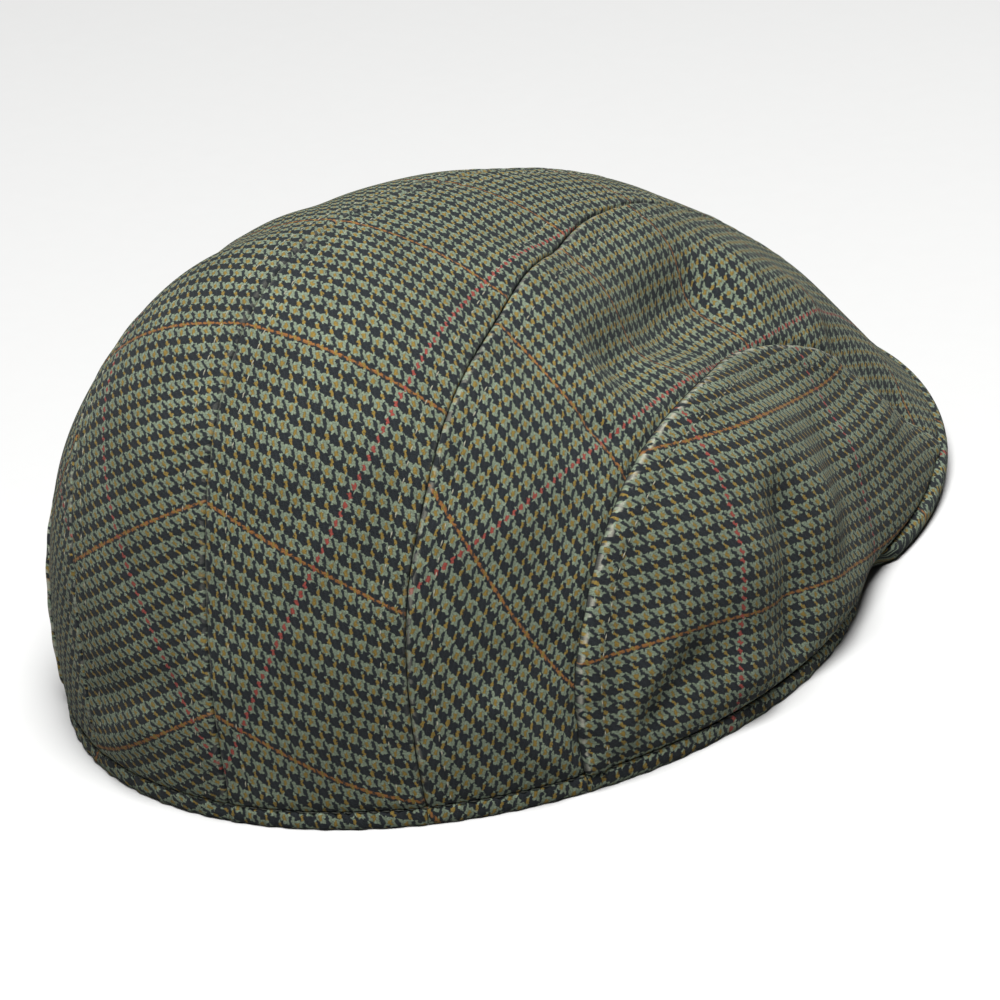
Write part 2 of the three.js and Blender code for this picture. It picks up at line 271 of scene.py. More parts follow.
def crown_at(disc):
    """Points of the smooth crown for places in its disc.

    The disc's middle is the crown's top and its rim is the crown's lower edge, with the centre back at (0, 1)
    and the wearer's left at (1, 0).
    """
    angle = np.arctan2(disc[..., 0], disc[..., 1])
    climb = (1 - np.hypot(disc[..., 0], disc[..., 1]))[..., None]
    across, along = np.sin(angle), np.cos(angle)
    top_y = CROWN["top_y"]
    hem = reach_to_ellipse(across, along, top_y, 0, HEM["half_width"], HEM["half_length"])
    peak = reach_to_ellipse(across, along, top_y, PEAK["centre_y"], SEWN["half_width"], SEWN["reach"])
    radius = (hem**TEMPLE_SHARPNESS + np.maximum(peak, 1) ** TEMPLE_SHARPNESS) ** (1 / TEMPLE_SHARPNESS)
    outward = np.stack([across, along, np.zeros_like(angle)], -1)
    up = np.array([0.0, 0.0, 1.0])
    edge = radius[..., None] * outward + np.array([0, CROWN["top_y"], 0])
    edge[..., 2] = ledge_top(edge[..., 0], edge[..., 1]) + CROWN["seat"]
    top = np.array([0, CROWN["top_y"], CROWN["top_z"]])
    away = np.abs(angle)
    lean, rise, reach = (section_value(column, away)[..., None] for column in ("lean", "rise", "reach"))
    leaving = edge + outward * lean + up * rise
    run = radius[..., None] * reach
    arriving = top + outward * run + up * CROWN["tilt"] * run * along[..., None]
    left = 1 - climb
    return left**3 * edge + 3 * left**2 * climb * leaving + 3 * left * climb**2 * arriving + climb**3 * top


def crown_outward(disc, step=0.002):
    """The direction that the crown's cloth faces at places in its disc."""
    across = crown_at(disc + (step, 0)) - crown_at(disc - (step, 0))
    along = crown_at(disc + (0, step)) - crown_at(disc - (0, step))
    outward = np.cross(across, along)
    return outward / np.linalg.norm(outward, axis=-1, keepdims=True)


def fold_height(points):
    """The height that all the folds together add at places on the crown."""
    total = np.zeros(points.shape[:-1])
    for fold in FOLDS:
        start, end = np.array(fold.start, float), np.array(fold.end, float)
        line = end - start
        share = np.clip((points - start) @ line / (line @ line), 0, 1)
        away = np.linalg.norm(points - start - share[..., None] * line, axis=-1)
        total += fold.height * bell(away, fold.across)
    return total


def gentle_waves(points):
    """The slight unevenness of soft cloth: a sum of long low waves that always falls the same way."""
    chance = np.random.default_rng(SEED)
    total = np.zeros(points.shape[:-1])
    for _ in range(GENTLE_WAVES["count"]):
        direction = chance.normal(size=3)
        direction /= np.linalg.norm(direction)
        length = chance.uniform(GENTLE_WAVES["shortest"], GENTLE_WAVES["longest"])
        total += np.sin(points @ direction * 2 * math.pi / length + chance.uniform(0, 2 * math.pi))
    return total * GENTLE_WAVES["height"] / math.sqrt(GENTLE_WAVES["count"])


# ---------------------------------------------------------------- seams and panels in the disc

def smooth_line(rows, steps=40):
    """A curve through the rows of a table, as many close points."""
    rows = np.array(rows, float)
    padded = np.concatenate([[2 * rows[0] - rows[1]], rows, [2 * rows[-1] - rows[-2]]])
    share = np.linspace(0, 1, steps, endpoint=False)[:, None]
    pieces = []
    for before, start, end, after in zip(padded, padded[1:], padded[2:], padded[3:]):
        out, into = (end - before) / 2, (after - start) / 2
        change = end - start
        pieces.append(
            start
            + out * share
            + (3 * change - 2 * out - into) * share**2
            + (out + into - 2 * change) * share**3
        )
    return np.concatenate([*pieces, rows[-1:]])


def beside_back_seam(points):
    """Positive between the centre seam and the back seam."""
    line = smooth_line(BACK_SEAM)[::-1]
    return np.interp(points[..., 1], line[:, 0], line[:, 1]) - points[..., 0]


def inside_side_seam(points):
    """Positive inside the side panel."""
    line = smooth_line(SIDE_SEAM) - SIDE_SEAM_CENTRE
    turn = np.arctan2(line[:, 1], line[:, 0])
    place = points[..., 1:] - SIDE_SEAM_CENTRE
    reach = np.interp(np.arctan2(place[..., 1], place[..., 0]), turn, np.hypot(line[:, 0], line[:, 1]))
    return reach - np.hypot(place[..., 0], place[..., 1])


def traced_seam(beside, centre):
    """The places in the left half of the disc where a seam crosses it, from the back round to the front."""
    angle, climb = np.meshgrid(np.linspace(0, math.pi, 721), np.linspace(0, 0.999, 240))
    disc = (1 - climb)[..., None] * np.stack([np.sin(angle), np.cos(angle)], -1)
    value = beside(crown_at(disc))
    found = []
    for axis in (0, 1):
        before, after = range(value.shape[axis] - 1), range(1, value.shape[axis])
        first, second = value.take(before, axis), value.take(after, axis)
        here, there = disc.take(before, axis), disc.take(after, axis)
        crosses = first * second < 0
        share = (first[crosses] / (first[crosses] - second[crosses]))[:, None]
        found.append(here[crosses] * (1 - share) + there[crosses] * share)
    found = np.concatenate(found)
    place = crown_at(found)[:, 1:] - centre
    return found[np.argsort(np.arctan2(place[:, 1], place[:, 0]))]


def lengths_along(line):
    """How far along a line each of its points lies."""
    return np.concatenate([[0], np.cumsum(np.linalg.norm(np.diff(line, axis=0), axis=1))])


def values_at(wanted, known, values):
    """Rows of values at the wanted places, where each row of values belongs to a known place."""
    return np.stack([np.interp(wanted, known, column) for column in values.T], -1)


def evenly(disc, shares):
    """Places at the given shares of a line's length on the crown."""
    length = lengths_along(crown_at(disc))
    return values_at(shares * length[-1], length, disc)


def rim_line(start, end):
    """The crown's lower edge from the angle of one place in the disc to that of another."""
    angles = np.linspace(math.atan2(*start), math.atan2(*end), 400)
    return np.stack([np.sin(angles), np.cos(angles)], -1)


def crowded(count, crowding=0.7):
    """Shares from 0 to 1 that lie closer together at both ends."""
    even = np.linspace(0, 1, count)
    return even - crowding * np.sin(2 * math.pi * even) / (2 * math.pi)


def spread_between(first, second, start, end, along, across):
    """A grid of places between two long lines and the two short ones that join their ends."""
    first, second = evenly(first, along), evenly(second, along)
    start, end = evenly(start, across), evenly(end, across)
    a, b = along[:, None, None], across[None, :, None]
    sides = (1 - b) * first[:, None] + b * second[:, None]
    ends = (1 - a) * start[None] + a * end[None]
    corners = (1 - a) * ((1 - b) * first[0] + b * second[0]) + a * ((1 - b) * first[-1] + b * second[-1])
    return sides + ends - corners


def seam_lines():
    """The seams of the left half: at the centre, beside the back panel and round the side panel."""
    centre = np.stack([np.zeros(801), np.linspace(1, -1, 801)], -1)
    return {
        "centre": centre,
        "back": traced_seam(beside_back_seam, BACK_SEAM_CENTRE),
        "side": traced_seam(inside_side_seam, SIDE_SEAM_CENTRE),
    }


def panel_grid(kind, seams):
    """A panel of the left half as a grid of places in the disc, and the names of the seams at its sides."""
    if kind == "back_panel":
        first, second, names = seams["centre"], seams["back"], ("centre", "back")
        along, across = np.linspace(0, 1, 300), crowded(44)
    elif kind == "top_panel":
        first, second, names = seams["back"], seams["side"], ("back", "side")
        along, across = np.linspace(0, 1, 260), crowded(64)
    else:
        tipless = np.linspace(SIDE_TIP, 1 - SIDE_TIP, 400)
        rim = rim_line(seams["side"][0], seams["side"][-1])
        first, second, names = evenly(rim, tipless), evenly(seams["side"], tipless), ("rim", "side")
        along, across = crowded(200, 0.5), crowded(50)
    if kind == "side_panel":
        start, end = np.stack([first[0], second[0]]), np.stack([first[-1], second[-1]])
    else:
        start, end = rim_line(first[0], second[0]), rim_line(first[-1], second[-1])
    return spread_between(first, second, start, end, along, across), names


# ---------------------------------------------------------------- meshes

def quads_of(rows, columns):
    """The faces of a grid of points, row by row."""
    index = np.arange(rows * columns).reshape(rows, columns)
    return np.stack([index[:-1, :-1], index[1:, :-1], index[1:, 1:], index[:-1, 1:]], -1).reshape(-1, 4)


def outline_of(rows, columns):
    """The outer points of a grid, in order all the way round."""
    index = np.arange(rows * columns).reshape(rows, columns)
    return np.concatenate([index[:-1, 0], index[-1, :-1], index[:0:-1, -1], index[0, :0:-1]])


def shell_faces(rows, columns):
    """The faces of a sheet with thickness: one grid, the same grid behind it and the edge that joins them."""
    front = quads_of(rows, columns)
    back = front[:, ::-1] + rows * columns
    edge = outline_of(rows, columns)
    after = np.roll(edge, -1)
    wall = np.stack([edge, edge + rows * columns, after + rows * columns, after], -1)
    return np.concatenate([front, back, wall])


def tube_faces(rows, columns):
    """The faces of a solid whose cross-sections are the rows of a grid: round it and over its two ends."""
    index = np.arange(rows * columns).reshape(rows, columns)
    closing = np.stack([index[:-1, -1], index[1:, -1], index[1:, 0], index[:-1, 0]], -1)
    return quads_of(rows, columns).tolist() + closing.tolist() + [index[0, ::-1].tolist(), index[-1].tolist()]


def to_frame(points):
    """Points of the shape tables' space in metres of the frame."""
    return (points + (0, OPENING_Y, 0)) * MM


def corner_points(mesh):
    """Which point lies at each corner of each face."""
    corners = np.zeros(len(mesh.loops), int)
    mesh.loops.foreach_get("vertex_index", corners)
    return corners


def new_mesh(name, points, faces, maps=None, values=None):
    """An object from points in the shape tables' space.

    maps gives each named map a place for each point, and values each named value a number for each point.
    """
    mesh = bpy.data.meshes.new(name)
    mesh.from_pydata(to_frame(points).tolist(), [], faces if isinstance(faces, list) else faces.tolist())
    for map_name, places in (maps or {}).items():
        layer = mesh.uv_layers.new(name=map_name)
        layer.data.foreach_set("uv", places[corner_points(mesh)].astype(np.float32).ravel())
    for value_name, numbers in (values or {}).items():
        attribute = mesh.attributes.new(value_name, "FLOAT", "POINT")
        attribute.data.foreach_set("value", numbers.astype(np.float32))
    mesh.shade_smooth()
    mesh.update()
    made = bpy.data.objects.new(name, mesh)
    bpy.context.scene.collection.objects.link(made)
    return made


def finished_piece(piece, material, slot, *nodes):
    """Gives a piece its material and its body, and hides the frame's nodes that it stands for."""
    piece.data.materials.append(material)
    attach(piece, "root")
    if nodes:
        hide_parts(*nodes)
    return piece


def flattened(points):
    """Where each point of a curved grid lies once the cloth is laid flat, in millimetres about its middle.

    The grid's rows are counted towards +Y and its columns towards +X.
    """
    rows, columns = points.shape[:2]
    trial = new_mesh("flat_trial", points.reshape(-1, 3), quads_of(rows, columns))
    bpy.ops.object.select_all(action="DESELECT")
    trial.select_set(True)
    bpy.context.view_layer.objects.active = trial
    bpy.ops.object.mode_set(mode="EDIT")
    bpy.ops.mesh.select_all(action="SELECT")
    bpy.ops.uv.unwrap(method="MINIMUM_STRETCH", margin=0, iterations=12)
    bpy.ops.object.mode_set(mode="OBJECT")
    mesh = trial.data
    places = np.zeros(len(mesh.loops) * 2)
    mesh.uv_layers.active.data.foreach_get("uv", places)
    flat = np.zeros((rows * columns, 2))
    flat[corner_points(mesh)] = places.reshape(-1, 2)
    flat = flat.reshape(rows, columns, 2)
    bpy.data.objects.remove(trial)
    bpy.data.meshes.remove(mesh)
    flat *= math.sqrt(grid_area(points) / grid_area(np.concatenate([flat, flat[..., :1] * 0], -1)))
    low, middle, high = (flat[int(rows * share), columns // 2] for share in (0.3, 0.5, 0.7))
    turn = math.atan2(*(high - low))
    cos, sin = math.cos(turn), math.sin(turn)
    flat = (flat - middle) @ np.array([[cos, sin], [-sin, cos]])
    return flat * (np.sign(flat[rows // 2, -1, 0] - flat[rows // 2, 0, 0]), 1)


def cloth_places(kind, side, flat):
    """Where the points of a flat panel lie on the woven cloth, in millimetres.

    x runs across the long yarns and y along them. The panel is bent in its plane as its yarns turn.
    """
    grain = GRAIN[kind]
    along = np.linspace(-260, 260, 2081)
    turn = np.radians(np.interp(along, *np.array(grain["turns"], float).T))
    step = along[1] - along[0]
    sideways, forward = np.cumsum(np.sin(turn)) * step, np.cumsum(np.cos(turn)) * step
    sideways, forward = sideways - np.interp(0, along, sideways), forward - np.interp(0, along, forward)
    here = np.interp(flat[..., 1], along, turn)
    x = flat[..., 0] * np.cos(here) - np.interp(flat[..., 1], along, sideways)
    y = flat[..., 0] * np.sin(here) + np.interp(flat[..., 1], along, forward)
    red, rust = grain["lines"]
    wide, long = grain["stretch"]
    outer = -1 if kind == "side_panel" else 1
    return np.stack([(x - red) / wide * outer * -side, (rust - y) / long], -1)


def grid_area(points):
    """The area of a grid's faces."""
    one, two = points[1:, 1:] - points[:-1, :-1], points[1:, :-1] - points[:-1, 1:]
    return np.linalg.norm(np.cross(one, two), axis=-1).sum() / 2


def nearest_on(line, points):
    """How far each point is from a line, and how far along the line it lies."""
    tree = KDTree(len(line))
    for index, place in enumerate(line):
        tree.insert(place, index)
    tree.balance()
    found = [tree.find(point)[1:] for point in points.reshape(-1, 3)]
    length = lengths_along(line)
    away = np.array([distance for _, distance in found]).reshape(points.shape[:-1])
    return away, length[[index for index, _ in found]].reshape(points.shape[:-1])


# ---------------------------------------------------------------- shader maths

def math_node(operation, reflected=False):
    """A method that adds a Math node, which takes its owner first, or last if it is reflected."""
    def method(owner, *others):
        values = (*others, owner) if reflected else (owner, *others)
        return owner.node("ShaderNodeMath", {"operation": operation}, dict(enumerate(values)))

    return method


class Shade:
    """One output of a material's nodes. Arithmetic on it adds Math nodes."""

    def __init__(self, tree, socket=None):
        self.tree = tree
        self.socket = socket

    def node(self, kind, settings=None, inputs=None, output=0):
        """The output of a new node. inputs holds a value or another Shade for each socket."""
        made = self.tree.nodes.new(kind)
        for name, value in (settings or {}).items():
            setattr(made, name, value)
        for key, value in (inputs or {}).items():
            if isinstance(value, Shade):
                self.tree.links.new(value.socket, made.inputs[key])
            else:
                made.inputs[key].default_value = value
        return Shade(self.tree, made.outputs[output])

    __add__ = __radd__ = math_node("ADD")
    __sub__ = math_node("SUBTRACT")
    __rsub__ = math_node("SUBTRACT", reflected=True)
    __mul__ = __rmul__ = math_node("MULTIPLY")
    __truediv__ = math_node("DIVIDE")
    __mod__ = math_node("FLOORED_MODULO")
    __pow__ = math_node("POWER")
    __lt__ = math_node("LESS_THAN")
    __gt__ = math_node("GREATER_THAN")
    __abs__ = math_node("ABSOLUTE")
    floor = math_node("FLOOR")
    highest = math_node("MAXIMUM")

    def feed(self, surface, socket):
        """Joins this to a socket of a surface shader."""
        self.tree.links.new(self.socket, surface.inputs[socket])

    def eased(self, start, end):
        """0 at start and 1 at end, with a soft step between."""
        return self.node(
            "ShaderNodeMapRange",
            {"interpolation_type": "SMOOTHSTEP"},
            {"Value": self, "From Min": start, "From Max": end},
        )

    def between(self, first, second):
        """A mix of two colours, with this as the share of the second."""
        inputs = {"Factor": self, "A": first, "B": second}
        return self.node("ShaderNodeMix", {"data_type": "RGBA"}, inputs, "Result")

    def part(self, axis):
        """One part of a place: X, Y or Z."""
        return self.node("ShaderNodeSeparateXYZ", None, {0: self}, axis)

    def vector_maths(self, operation, inputs):
        return self.node("ShaderNodeVectorMath", {"operation": operation}, {0: self, **inputs})


def new_material(name):
    """A material with a bare surface shader: its node and the start of its graph."""
    material = bpy.data.materials.new(name)
    material.use_nodes = True
    tree = material.node_tree
    return material, tree.nodes["Principled BSDF"], Shade(tree)


def set_surface(surface, values):
    """Sets the steady values of a surface shader."""
    for socket, value in values.items():
        surface.inputs[socket].default_value = value


# ---------------------------------------------------------------- settings

def colour_setting(name, description, default):
    """A colour that the user can set."""
    return FloatVectorProperty(
        name=name, description=description, subtype="COLOR", size=3, min=0, max=1, default=default
    )


def length_setting(name, description, millimetres):
    """A length that the user can set."""
    return FloatProperty(
        name=name, description=description, default=millimetres * MM, unit="LENGTH", precision=5
    )


def angle_setting(name, description, degrees):
    """An angle that the user can set."""
    return FloatProperty(name=name, description=description, default=math.radians(degrees), unit="ROTATION")


class CapClothSettings(bpy.types.PropertyGroup):
    """The wool cloth: its yarns, colours and lines."""

    end_spacing: length_setting("End spacing", "Distance between the long yarns", 0.39)
    pick_spacing: length_setting("Pick spacing", "Distance between the cross yarns", 0.505)
    slant: FloatProperty(name="Slant", description="Ends that a float leans over for each pick", default=0.9)
    float_width: FloatProperty(name="Float width", description="Half width of a float, in ends", default=1.0)
    float_length: FloatProperty(
        name="Float length", description="Half length of a float, in picks", default=2.3
    )
    wander: length_setting("Wander", "How far the yarns waver", 0.8)
    fuzz: FloatProperty(name="Fuzz", description="How ragged the edges of the yarns are", default=4.0)
    dark: colour_setting("Dark yarn", "Navy black of the check", (0.0085, 0.0105, 0.012))
    teal: colour_setting("Pale yarn", "Grey green of the ground", (0.094, 0.116, 0.083))
    ochre: colour_setting("Ochre yarn", "Ochre of the ground", (0.100, 0.069, 0.016))
    nap: colour_setting("Worn nap", "Cream fibres where the cloth is rubbed", (0.213, 0.208, 0.170))
    red: colour_setting("Red yarn", "Thin lines along the cloth", (0.125, 0.026, 0.020))
    rust: colour_setting("Rust yarn", "Thin lines across the cloth", (0.13, 0.057, 0.018))


class CapSewingSettings(bpy.types.PropertyGroup):
    """Seams and stitches."""

    row_offset: length_setting("Row offset", "From a seam to the stitches beside it", 5.2)
    stitch: length_setting("Stitch", "From one stitch to the next", 3.5)
    thread: length_setting("Thread", "Thickness of the sewing thread", 0.3)
    thread_colour: colour_setting("Thread colour", "Colour of the top stitching", (0.15, 0.145, 0.11))
    hem_colour: colour_setting("Hem thread colour", "Colour of the hem's stitches", (0.02, 0.022, 0.018))


class CapStageSettings(bpy.types.PropertyGroup):
    """Camera, floor and lights."""

    turn: angle_setting("Turn", "Camera's turn round the cap", 212.11)
    height: angle_setting("Height angle", "Camera's angle above the floor", 22.23)
    roll: angle_setting("Roll", "Camera's roll about its own axis", -5.66)
    tilt: angle_setting("Tilt", "How far the camera looks below the cap", 1.015)
    pan: angle_setting("Pan", "How far the camera looks to the cap's right", 0.024)
    distance: FloatProperty(
        name="Distance", description="From the camera to the cap", default=1.3167, unit="LENGTH"
    )
    lens: FloatProperty(name="Lens", description="Focal length in millimetres", default=217.07)
    floor_colour: colour_setting("Floor", "Pale floor", (0.32, 0.32, 0.318))
    floor_size: FloatProperty(
        name="Floor size", description="Length of the floor's sides", default=6, unit="LENGTH"
    )
    sky: FloatProperty(name="Sky", description="Strength of the even light from all round", default=0.04)


# ---------------------------------------------------------------- materials

def flat_noise(place, scale, detail=0.0, output=0, **more):
    """Soft random values on the cloth, where scale is how many grains lie on a millimetre."""
    inputs = {"Vector": place, "Scale": scale, "Detail": detail, **more}
    return place.node("ShaderNodeTexNoise", {"noise_dimensions": "2D"}, inputs, output)


def cloth_material():
    """Milled wool in a twill of dark and pale yarns, four of each both ways, with thin red and rust lines."""
    cloth = bpy.context.scene.cap_cloth
    dark, teal, ochre = (*cloth.dark, 1), (*cloth.teal, 1), (*cloth.ochre, 1)
    material, surface, graph = new_material("check_cloth")
    place = graph.node("ShaderNodeUVMap", {"uv_map": CLOTH_MAP})
    fibres = flat_noise(place, 5.0, 2.0, Roughness=0.7)
    patches = flat_noise(place, 0.08)
    moved = wandering(place, cloth.wander / MM)
    across = moved.part("X") / (cloth.end_spacing / MM) + RED_END
    along = moved.part("Y") / (cloth.pick_spacing / MM) + RUST_PICK
    end, height = top_end(across, along)
    end_step, pick_step = (end + 1) % REPEAT, (along.floor() + 1) % REPEAT
    is_ochre = abs(end_step - 5.5) < 1
    is_red = abs((end - RED_END + 0.5) % RED_EVERY - 1) < 1
    is_pale_pick = pick_step > 3.5
    is_rust = abs((along - RUST_PICK + 2) % RUST_EVERY - 2.5) < 0.62
    end_colour = is_ochre.between((end_step < 3.5).between(teal, dark), ochre)
    end_colour = is_red.between(end_colour, (*cloth.red, 1))
    pick_colour = is_rust.between(is_pale_pick.between(dark, teal), (*cloth.rust, 1))
    # A long yarn shows where it lies higher than the cross yarn. Ochre and red ones lie a little higher,
    # pale cross yarns lie lower and rust ones higher, and the fibres make the edges ragged.
    raised = height + (fibres - 0.5) * cloth.fuzz + is_ochre * 0.22 + is_red * 0.15
    end_over = raised > 0.35 - is_pale_pick * 0.5 + is_rust * 0.35
    yarn = end_over.between(pick_colour, end_colour)
    # Painted shade darkens each yarn towards its edges, where it dips between its neighbours, and the same
    # profile gives the bump. Loose fibres and larger patches vary the tone at random.
    end_round = height.highest(0) ** 0.5
    pick_round = 1 - (along % 1 * 2 - 1) ** 2
    # Painted shade between the yarns, which also sets the yarns' relief for the bump below.
    yarn_relief_and_shade = end_over * (end_round * 0.45 + 0.62) + (1 - end_over) * (pick_round * 0.3 + 0.65)
    shade = yarn_relief_and_shade * (fibres * 1.6 + 0.2) * (patches * 0.3 + 0.85)
    colour = yarn.vector_maths("SCALE", {"Scale": shade})
    worn = graph.node("ShaderNodeAttribute", {"attribute_name": WORN}, None, "Fac")
    tufts = flat_noise(place, 0.55)
    colour = (worn * tufts.eased(0.48, 0.56) * (fibres * 0.7 + 0.5)).between(colour, (*cloth.nap, 1))
    relief = yarn_relief_and_shade * 0.8 + fibres * 0.8
    bump = graph.node("ShaderNodeBump", None, {"Strength": 0.7, "Distance": 0.25 * MM, "Height": relief})
    colour.feed(surface, "Base Color")
    bump.feed(surface, "Normal")
    set_surface(surface, {
        "Roughness": 0.92, "Specular IOR Level": 0.1, "Sheen Weight": 0.02, "Sheen Roughness": 0.6,
        "Sheen Tint": (0.8, 0.85, 0.8, 1),
    })
    return material


def wandering(place, amount):
    """Places on the cloth, moved a little so that the yarns waver."""
    noise = flat_noise(place, 1.3, 1.0, "Color")
    shift = noise.vector_maths("SUBTRACT", {1: (0.5, 0.5, 0.5)}).vector_maths("SCALE", {"Scale": amount})
    return place.vector_maths("ADD", {1: shift})


def top_end(across, along):
    """The long yarn that lies highest at a place, and its height: 1 on its crest, 0 where it dives.

    Each long yarn passes over two cross yarns and under two, one step later than the long yarn before it.
    """
    cloth = bpy.context.scene.cap_cloth
    nearest = across.floor()
    best_end, best_height = None, None
    for step in (-1, 0, 1):
        end = nearest + step
        past_crest = (along - end + 1) % 4 - 2
        sideways = across - end - 0.5 - past_crest * cloth.slant
        height = 1 - (sideways / cloth.float_width) ** 2 - (past_crest / cloth.float_length) ** 2
        if best_end is None:
            best_end, best_height = end, height
        else:
            best_end = best_end + (end - best_end) * (height > best_height)
            best_height = height.highest(best_height)
    return best_end, best_height


def plain_material(name, colour, roughness=0.9, contrast=0.15):
    """A matt material with a faint grain in its colour."""
    material, surface, graph = new_material(name)
    grain = graph.node("ShaderNodeTexNoise", None, {"Scale": 900.0, "Detail": 2.0})
    low, high = ([channel * share for channel in colour] for share in (1 - contrast, 1 + contrast))
    grain.between((*low, 1), (*high, 1)).feed(surface, "Base Color")
    set_surface(surface, {"Roughness": roughness, "Specular IOR Level": 0.2})
    return material


# ---------------------------------------------------------------- pieces

MATERIALS = {}
PANELS = {}


def shared_material(name, make, *values):
    """The material of this name, made from the values the first time that it is asked for."""
    if name not in MATERIALS:
        MATERIALS[name] = make(*values)
    return MATERIALS[name]


def seam_height(name, away):
    """How a seam moves the cloth beside it, by the distance from the seam."""
    seam = SEAMS[name]
    dip = seam["height"] * bell(away, seam["width"])
    if name == "tucked":
        return dip
    row = bpy.context.scene.cap_sewing.row_offset / MM
    allowance = 1 - smooth(row - SEAM_ALLOWANCE["before"], row + SEAM_ALLOWANCE["after"], away)
    stitched = -STITCH_ROW["depth"] * bell(away - row, STITCH_ROW["width"])
    if name == "raised":
        return (seam["height"] - dip) * allowance + stitched
    return dip + SEAM_ALLOWANCE["height"] * allowance + stitched


def seam_wear(name, away):
    """How worn and pale the nap is beside a seam, by the distance from it."""
    return SEAMS[name]["worn"] * bell(away - WORN_BAND["from_seam"], WORN_BAND["width"])


def panel_surface(kind, side, disc, seams, names):
    """The outer points of a panel on one side, the way they face, how worn they are, and their distances to
    each of the panel's seams."""
    placed = disc * (side, 1)
    base = crown_at(placed)
    outward = crown_outward(placed)
    rim = np.linspace(-math.pi, math.pi, 2400)
    edge = crown_at(np.stack([np.sin(rim), np.cos(rim)], -1))
    above_rim, _ = nearest_on(edge, base)
    height = (fold_height(base) + gentle_waves(base)) * smooth(0, CALM_ABOVE_RIM, above_rim)
    worn = np.zeros(height.shape)
    distances = {}
    for name in names:
        if name == "rim":
            continue
        line = crown_at(evenly(seams[name], np.linspace(0, 1, 900)) * (side, 1))
        away, along = nearest_on(line, base)
        distances[name] = away
        label = {"side": "raised" if kind == "side_panel" else "tucked"}.get(name, name)
        height += seam_height(label, away)
        ripple = np.sin(along * 2 * math.pi / SEAM_RIPPLE["length"])
        height += SEAM_RIPPLE["height"] * ripple * bell(away, SEAM_RIPPLE["width"])
        worn += seam_wear("back outer" if name == "back" and kind == "back_panel" else label, away)
    height -= RIM_TUCK["depth"] * bell(above_rim, RIM_TUCK["width"])
    outer = base + outward * height[..., None]
    for edge_column, beside in ((0, 1), (-1, -2)):
        step = outer[:, beside] - outer[:, edge_column]
        length = np.maximum(np.linalg.norm(step, axis=-1, keepdims=True), 1e-6)
        outer[:, edge_column] += step / length * np.minimum(CROWN["seam_gap"], length / 2)
    return outer, outward, worn, distances


def build_panel(kind, side_name, disc, flat, seams, names):
    """Makes one panel and notes what its stitches and the hem need of it."""
    side = SIDES[side_name]
    outer, outward, worn, distances = panel_surface(kind, side, disc, seams, names)
    inner = outer - outward * CROWN["wall"]
    rows, columns = disc.shape[:2]
    places = cloth_places(kind, side, flat)
    faces = shell_faces(rows, columns)
    if faces_inward(outer):
        faces = faces[:, ::-1]
    points = np.concatenate([outer.reshape(-1, 3), inner.reshape(-1, 3)])
    maps = {CLOTH_MAP: np.tile(places.reshape(-1, 2), (2, 1))}
    values = {WORN: np.concatenate([worn.ravel(), np.zeros(rows * columns)])}
    name = kind + "_" + side_name
    piece = new_mesh("cloth_" + name, points, faces, maps, values)
    finished_piece(piece, shared_material("cloth", cloth_material), "check_cloth", name)
    PANELS[name] = {
        "kind": kind, "side": side, "disc": disc * (side, 1), "outer": outer, "outward": outward,
        "places": places, "distances": distances,
    }


def faces_inward(points):
    """Whether the faces of a grid on the crown look towards the middle of the head opening."""
    row, column = points.shape[0] // 2, points.shape[1] // 2
    here = points[row, column]
    normal = np.cross(points[row + 1, column] - here, points[row, column + 1] - here)
    return normal @ (here - (0, 0, 30)) < 0


def rim_of(panel):
    """A panel's lower edge: its angle about the crown's top, where it lies on the woven cloth, and how that
    changes for each millimetre further down."""
    if panel["kind"] == "side_panel":
        edge, inside = (slice(None), 0), (slice(None), 1)
    else:
        edge, inside = (0, slice(None)), (1, slice(None))
    disc = panel["disc"][edge]
    step = np.linalg.norm(panel["outer"][edge] - panel["outer"][inside], axis=-1, keepdims=True)
    down = (panel["places"][edge] - panel["places"][inside]) / np.maximum(step, 1e-3)
    length = np.maximum(np.linalg.norm(down, axis=-1, keepdims=True), 1e-6)
    return np.arctan2(disc[..., 0], disc[..., 1]), panel["places"][edge], down / length


def hem_segment(angles, place_at, down_at):
    """One length of the turned hem: its points, its faces and where they lie on the cloth."""
    edge, outward = hem_edge(angles)
    base = ledge_top(edge[:, 0], edge[:, 1]) - HEM["height"]
    profile = np.array(HEM_PROFILE)
    fall = lengths_along(profile)
    wave = sum(row["height"] * np.sin(angles * row["waves"] + row["shift"]) for row in HEM_WAVES)
    flat = edge[:, None] - outward[:, None] * (profile[None, :, :1] + wave[:, None, None])
    height = np.broadcast_to(base[:, None] + profile[None, :, 1], flat.shape[:2])
    points = np.concatenate([flat, height[..., None]], -1)
    places = place_at[:, None] + down_at[:, None] * fall[None, :, None]
    return points.reshape(-1, 3), tube_faces(*flat.shape[:2]), places.reshape(-1, 2)


def joined(parts):
    """Several sets of points, faces and places as one."""
    points, faces, places, start = [], [], [], 0
    for part_points, part_faces, part_places in parts:
        points.append(part_points)
        faces += [[corner + start for corner in face] for face in part_faces]
        places.append(part_places)
        start += len(part_points)
    return np.concatenate(points), faces, np.concatenate(places)


